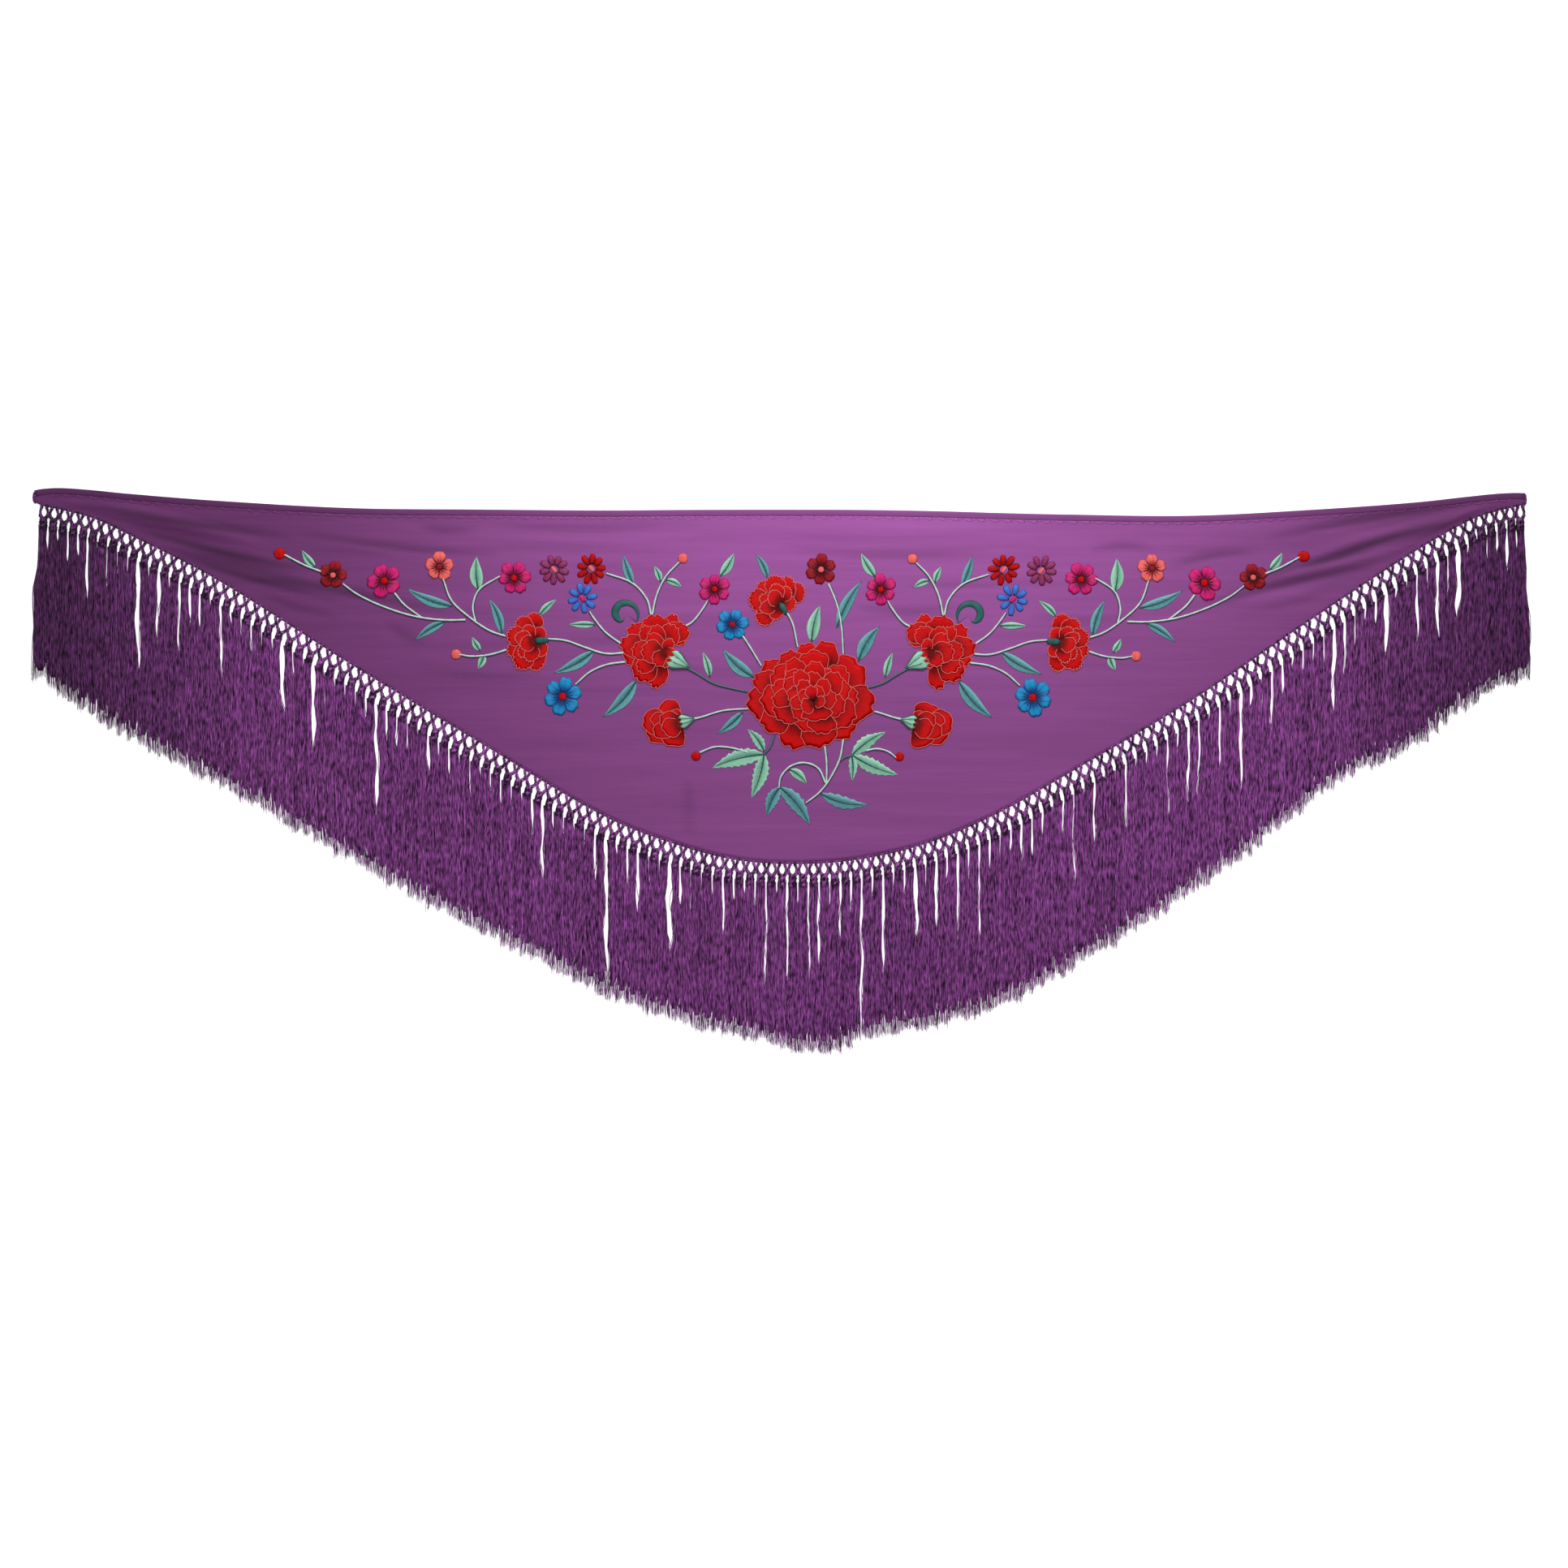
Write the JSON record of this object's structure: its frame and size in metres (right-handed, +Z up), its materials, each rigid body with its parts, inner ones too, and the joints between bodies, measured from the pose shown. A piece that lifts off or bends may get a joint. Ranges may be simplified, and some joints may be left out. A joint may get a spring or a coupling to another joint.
{
  "type": "embroidered flamenco shawl",
  "caption": "Triangular crepe shawl with floral embroidery and a long knotted silk fringe, laid flat with its fringe combed straight.",
  "frame": {"origin": "middle of the outline's box, on the surface that the shawl lies on", "axes": "+X along the long top edge, +Y from the fringe towards the long edge, +Z up out of the surface"},
  "size_m": [1.6005, 0.6036, 0.0069],
  "materials": {
    "crepe": "dense crepe weave with a soft sheen",
    "fringe_silk": "twisted rayon silk threads with a satin sheen",
    "thread_red": "satin-stitched silk thread",
    "thread_coral": "satin-stitched silk thread",
    "thread_magenta": "satin-stitched silk thread",
    "thread_blue": "satin-stitched silk thread",
    "thread_green": "satin-stitched silk thread"
  },
  "bodies": {
    "root": {"panel": "crepe", "top_hem": "crepe", "rolled_hem": "crepe", "embroidery": "thread_red", "fringe_01": "fringe_silk", "fringe_02": "fringe_silk", "fringe_03": "fringe_silk", "fringe_04": "fringe_silk", "fringe_05": "fringe_silk", "fringe_06": "fringe_silk", "fringe_07": "fringe_silk", "fringe_08": "fringe_silk", "fringe_09": "fringe_silk", "fringe_10": "fringe_silk"}
  },
  "joints": []
}
